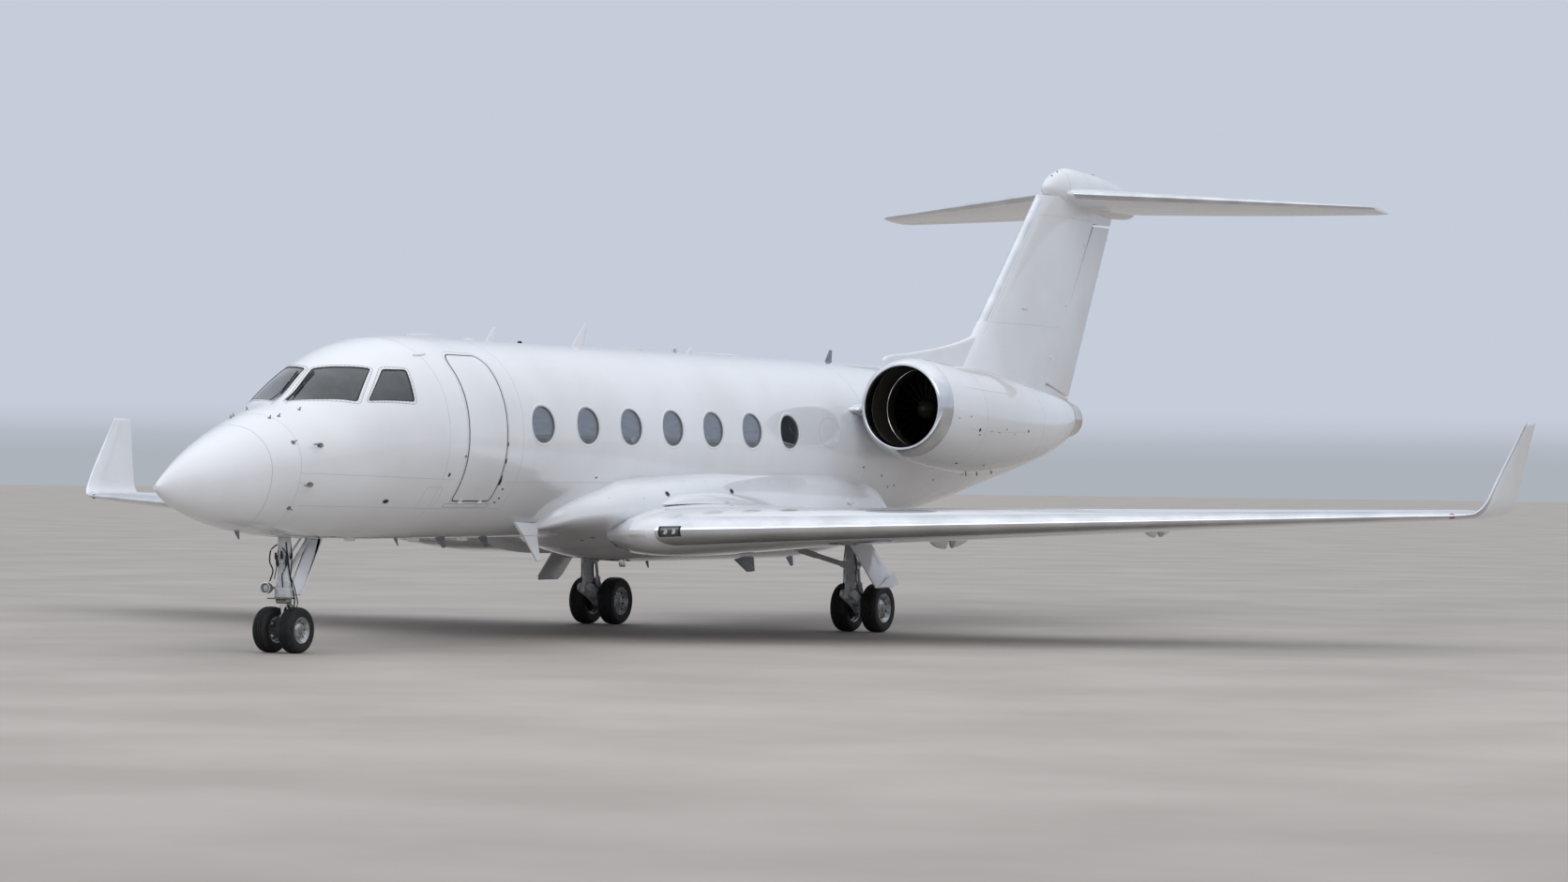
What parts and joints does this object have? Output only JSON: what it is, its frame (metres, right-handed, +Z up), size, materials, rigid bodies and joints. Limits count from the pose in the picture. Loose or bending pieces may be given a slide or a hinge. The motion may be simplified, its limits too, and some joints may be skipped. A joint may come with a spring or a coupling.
{
  "type": "business jet",
  "caption": "Twin-engined business jet on its landing gear, with a hollow cabin, swept low wings with winglets, rear engines and a high tailplane.",
  "frame": {"origin": "on the ground plane, midway along the whole length and on the plane of symmetry", "axes": "+X to the port side, +Y aft towards the tail, +Z up"},
  "size_m": [23.4314, 28.46, 7.478],
  "materials": {
    "white_paint": "high gloss white paint",
    "polished_metal": "polished bare metal",
    "dark_engine_metal": "dark satin metal of the fan and the engine core",
    "gear_paint": "light grey gloss paint",
    "gear_steel": "plated steel",
    "tyre_rubber": "matt black rubber",
    "window_glass": "tinted gloss glazing",
    "seat_leather": "smooth leather",
    "cabin_trim": "matt cabin trim"
  },
  "bodies": {
    "airframe": {"radome": "white_paint", "nose_section": "white_paint", "cabin_section": "white_paint", "tail_section": "white_paint", "belly_fairing": "white_paint", "windshield_port": "window_glass", "windshield_starboard": "window_glass", "side_window_port": "window_glass", "side_window_starboard": "window_glass", "window_panel_port": "window_glass", "window_panel_starboard": "window_glass", "cabin_floor": "cabin_trim", "cockpit_bulkhead": "cabin_trim", "instrument_panel": "cabin_trim", "pilot_seats": "seat_leather", "cabin_seats_port": "seat_leather", "cabin_seats_starboard": "seat_leather", "wing_port": "white_paint", "wing_starboard": "white_paint", "fin": "white_paint", "stabiliser": "white_paint", "inlet_lip_port": "polished_metal", "inlet_lip_starboard": "polished_metal", "engine_cowl_port": "white_paint", "engine_cowl_starboard": "white_paint", "exhaust_nozzle_port": "polished_metal", "exhaust_nozzle_starboard": "polished_metal", "engine_core_port": "dark_engine_metal", "engine_core_starboard": "dark_engine_metal", "pylon_port": "white_paint", "pylon_starboard": "white_paint", "nose_leg": "gear_paint", "nose_gear_door": "white_paint", "main_leg_port": "gear_paint", "main_leg_starboard": "gear_paint", "trailing_arm_port": "gear_steel", "trailing_arm_starboard": "gear_steel", "main_gear_door_port": "white_paint", "main_gear_door_starboard": "white_paint"},
    "entry_door": {"entry_door": "white_paint"},
    "rudder": {"rudder": "white_paint"},
    "nose_fork": {"nose_fork": "gear_steel"},
    "nose_wheels": {"nose_wheels": "tyre_rubber"},
    "spoiler_port": {"spoiler_port": "white_paint"},
    "flap_port": {"flap_port": "white_paint"},
    "aileron_port": {"aileron_port": "white_paint"},
    "elevator_port": {"elevator_port": "white_paint"},
    "fan_port": {"fan_port": "dark_engine_metal"},
    "main_wheels_port": {"main_wheels_port": "tyre_rubber"},
    "spoiler_starboard": {"spoiler_starboard": "white_paint"},
    "flap_starboard": {"flap_starboard": "white_paint"},
    "aileron_starboard": {"aileron_starboard": "white_paint"},
    "elevator_starboard": {"elevator_starboard": "white_paint"},
    "fan_starboard": {"fan_starboard": "dark_engine_metal"},
    "main_wheels_starboard": {"main_wheels_starboard": "tyre_rubber"}
  },
  "joints": [
    {"name": "nose_steer", "type": "hinge", "parent": "airframe", "child": "nose_fork", "pos_m": [0, -11.626, 0.7], "axis": [0, 0, 1], "range_deg": [-80, 80]},
    {"name": "nose_wheels_spin", "type": "hinge", "parent": "nose_fork", "child": "nose_wheels", "pos_m": [0, -11.626, 0.28], "axis": [1, 0, 0], "continuous": true},
    {"name": "main_wheels_spin_port", "type": "hinge", "parent": "airframe", "child": "main_wheels_port", "pos_m": [2.171, -0.465, 0.347], "axis": [1, 0, 0], "continuous": true},
    {"name": "main_wheels_spin_starboard", "type": "hinge", "parent": "airframe", "child": "main_wheels_starboard", "pos_m": [-2.171, -0.465, 0.347], "axis": [1, 0, 0], "continuous": true},
    {"name": "fan_spin_port", "type": "hinge", "parent": "airframe", "child": "fan_port", "pos_m": [2.05, 0.92, 3.24], "axis": [0, 0.9999, -0.0166], "continuous": true},
    {"name": "fan_spin_starboard", "type": "hinge", "parent": "airframe", "child": "fan_starboard", "pos_m": [-2.05, 0.92, 3.24], "axis": [0, 0.9999, -0.0166], "continuous": true},
    {"name": "entry_door_swing", "type": "hinge", "parent": "airframe", "child": "entry_door", "pos_m": [0.99955, -9.04, 1.83164], "axis": [0, 1, 0], "range_deg": [0, 140]},
    {"name": "rudder_turn", "type": "hinge", "parent": "airframe", "child": "rudder", "pos_m": [0, 10.12, 3.815], "axis": [0, 0.5878, 0.809], "range_deg": [-22, 22]},
    {"name": "elevator_port_turn", "type": "hinge", "parent": "airframe", "child": "elevator_port", "pos_m": [0.62, 12.97141, 6.8811], "axis": [0.9705, 0.2401, -0.0197], "range_deg": [-13, 24]},
    {"name": "elevator_starboard_turn", "type": "hinge", "parent": "airframe", "child": "elevator_starboard", "pos_m": [-0.62, 12.97141, 6.8811], "axis": [0.9705, -0.2401, 0.0197], "range_deg": [-13, 24]},
    {"name": "aileron_port_turn", "type": "hinge", "parent": "airframe", "child": "aileron_port", "pos_m": [7.64, -0.68058, 1.663], "axis": [0.9748, 0.2204, 0.0354], "range_deg": [-20, 20]},
    {"name": "aileron_starboard_turn", "type": "hinge", "parent": "airframe", "child": "aileron_starboard", "pos_m": [-7.64, -0.68058, 1.663], "axis": [0.9748, -0.2204, -0.0354], "range_deg": [-20, 20]},
    {"name": "flap_port_turn", "type": "hinge", "parent": "airframe", "child": "flap_port", "pos_m": [3.42, -1.63467, 1.48628], "axis": [-0.9746, -0.2203, -0.0409], "range_deg": [0, 39]},
    {"name": "flap_starboard_turn", "type": "hinge", "parent": "airframe", "child": "flap_starboard", "pos_m": [-3.42, -1.63467, 1.48628], "axis": [-0.9746, 0.2203, 0.0409], "range_deg": [0, 39]},
    {"name": "spoiler_port_turn", "type": "hinge", "parent": "airframe", "child": "spoiler_port", "pos_m": [3.8, -2.19923, 1.713], "axis": [0.9609, 0.2763, 0.0161], "range_deg": [0, 50]},
    {"name": "spoiler_starboard_turn", "type": "hinge", "parent": "airframe", "child": "spoiler_starboard", "pos_m": [-3.8, -2.19923, 1.713], "axis": [0.9609, -0.2763, -0.0161], "range_deg": [0, 50]}
  ],
  "couplings": [
    {"joint": "elevator_starboard_turn", "follows": "elevator_port_turn", "ratio": 1},
    {"joint": "aileron_starboard_turn", "follows": "aileron_port_turn", "ratio": -1},
    {"joint": "flap_starboard_turn", "follows": "flap_port_turn", "ratio": 1},
    {"joint": "spoiler_starboard_turn", "follows": "spoiler_port_turn", "ratio": 1}
  ]
}
